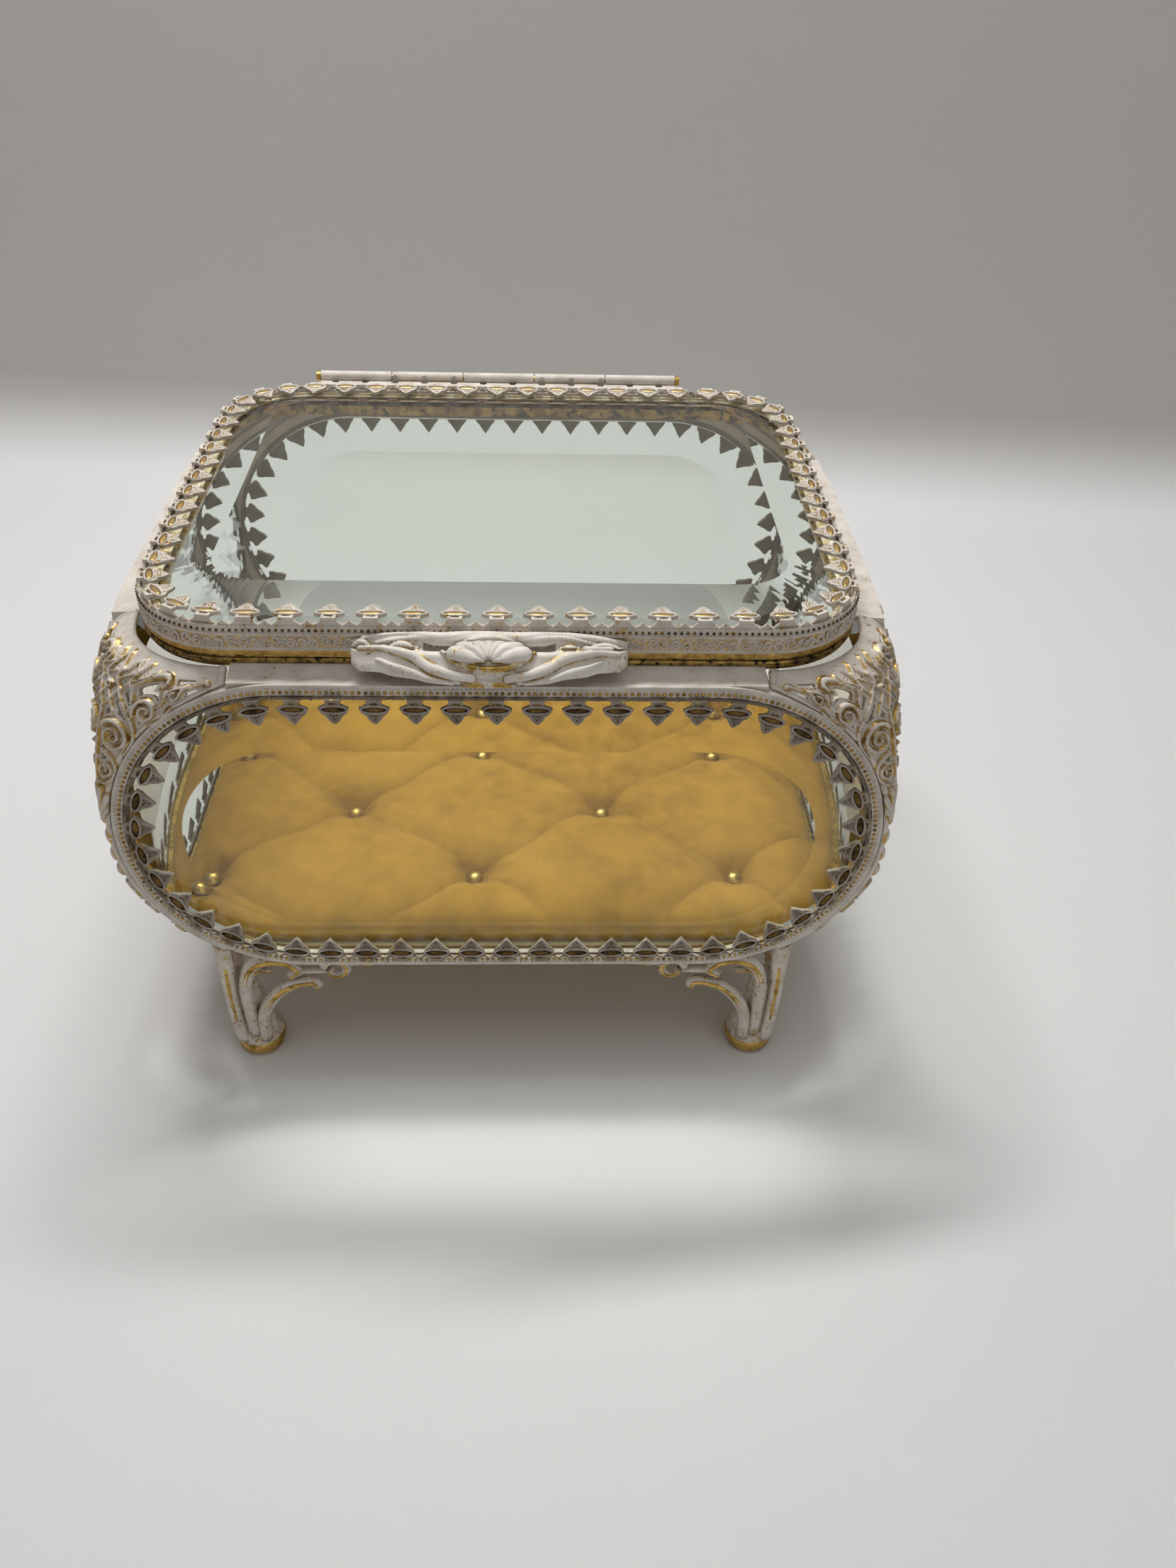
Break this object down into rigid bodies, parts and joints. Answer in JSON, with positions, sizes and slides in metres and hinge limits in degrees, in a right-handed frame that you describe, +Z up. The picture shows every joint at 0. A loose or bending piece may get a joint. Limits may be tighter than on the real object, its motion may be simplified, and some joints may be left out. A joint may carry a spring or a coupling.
{
  "type": "glass casket box",
  "caption": "Rectangular casket box with bevelled glass sides and a hinged glass lid held by pronged galleries, openwork filigree corners and legs, and a tufted cushion inside.",
  "frame": {"origin": "centre of the outside box, on the surface that the feet stand on", "axes": "+X to the right seen from the front, +Y to the back where the hinge is, +Z up"},
  "size_m": [0.14, 0.12, 0.1017],
  "materials": {
    "paint": "aged white paint over cast and stamped metal, rubbed to gilt on the ridges",
    "gilt_paint": "white painted ornament with gilt ridges and dark recesses",
    "gilt": "polished gilt brass",
    "glass": "polished bevelled plate, faintly green",
    "velvet": "amber gold velvet, tufted",
    "board": "plain card board under the cushion"
  },
  "bodies": {
    "base": {"body_rim": "gilt", "front_frame": "paint", "back_frame": "paint", "left_frame": "paint", "right_frame": "paint", "front_gallery": "gilt_paint", "back_gallery": "gilt_paint", "left_gallery": "gilt_paint", "right_gallery": "gilt_paint", "front_glass": "glass", "back_glass": "glass", "left_glass": "glass", "right_glass": "glass", "corner_front_left": "paint", "corner_front_right": "paint", "corner_back_left": "paint", "corner_back_right": "paint", "leg_front_left": "gilt_paint", "leg_front_right": "gilt_paint", "leg_back_left": "gilt_paint", "leg_back_right": "gilt_paint", "bottom_plate": "gilt", "cushion_board": "board", "cushion": "velvet", "tuft_buttons": "gilt", "hinge_body_leaf": "paint", "hinge_pin": "gilt"},
    "lid": {"hinge_lid_leaf": "paint", "lid_band": "paint", "lid_gallery": "gilt_paint", "lid_glass": "glass", "lift_handle": "gilt_paint"}
  },
  "joints": [
    {"name": "lid_hinge", "type": "hinge", "parent": "base", "child": "lid", "pos_m": [0, 0.0572, 0.1005], "axis": [-1, 0, 0], "range_deg": [0, 100]}
  ]
}
